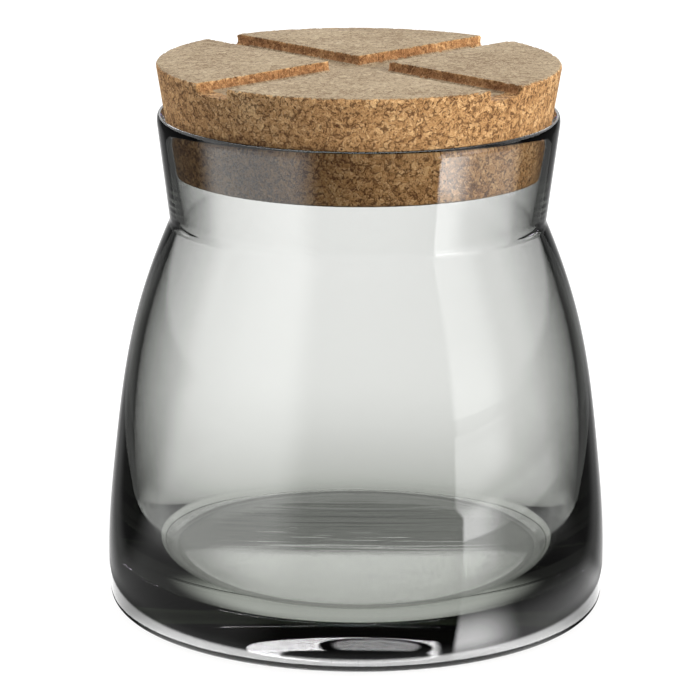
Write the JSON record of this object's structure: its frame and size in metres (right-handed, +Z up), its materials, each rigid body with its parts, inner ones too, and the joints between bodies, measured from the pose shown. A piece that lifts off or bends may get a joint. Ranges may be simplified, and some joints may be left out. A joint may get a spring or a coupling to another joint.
{
  "type": "lidded storage jar",
  "caption": "Round storage jar of smoke grey glass with a flared neck, a swelling body and a thick base, closed by a tapered cork lid with crossed grooves on top.",
  "frame": {"origin": "centre of the foot, on the surface that the jar stands on", "axes": "+Z up along the jar's axis; the lid's two grooves cross at 45 degrees to X and Y"},
  "size_m": [0.1458, 0.1458, 0.16],
  "materials": {
    "smoke_glass": "polished, fire-finished lip",
    "cork": "sanded agglomerated cork, uncoated"
  },
  "bodies": {
    "jar": {"glass_jar": "smoke_glass"},
    "lid": {"cork_lid": "cork"}
  },
  "joints": [
    {"name": "lid_lift", "type": "slide", "parent": "jar", "child": "lid", "axis": [0, 0, 1], "range_m": [0, 0.06]}
  ]
}
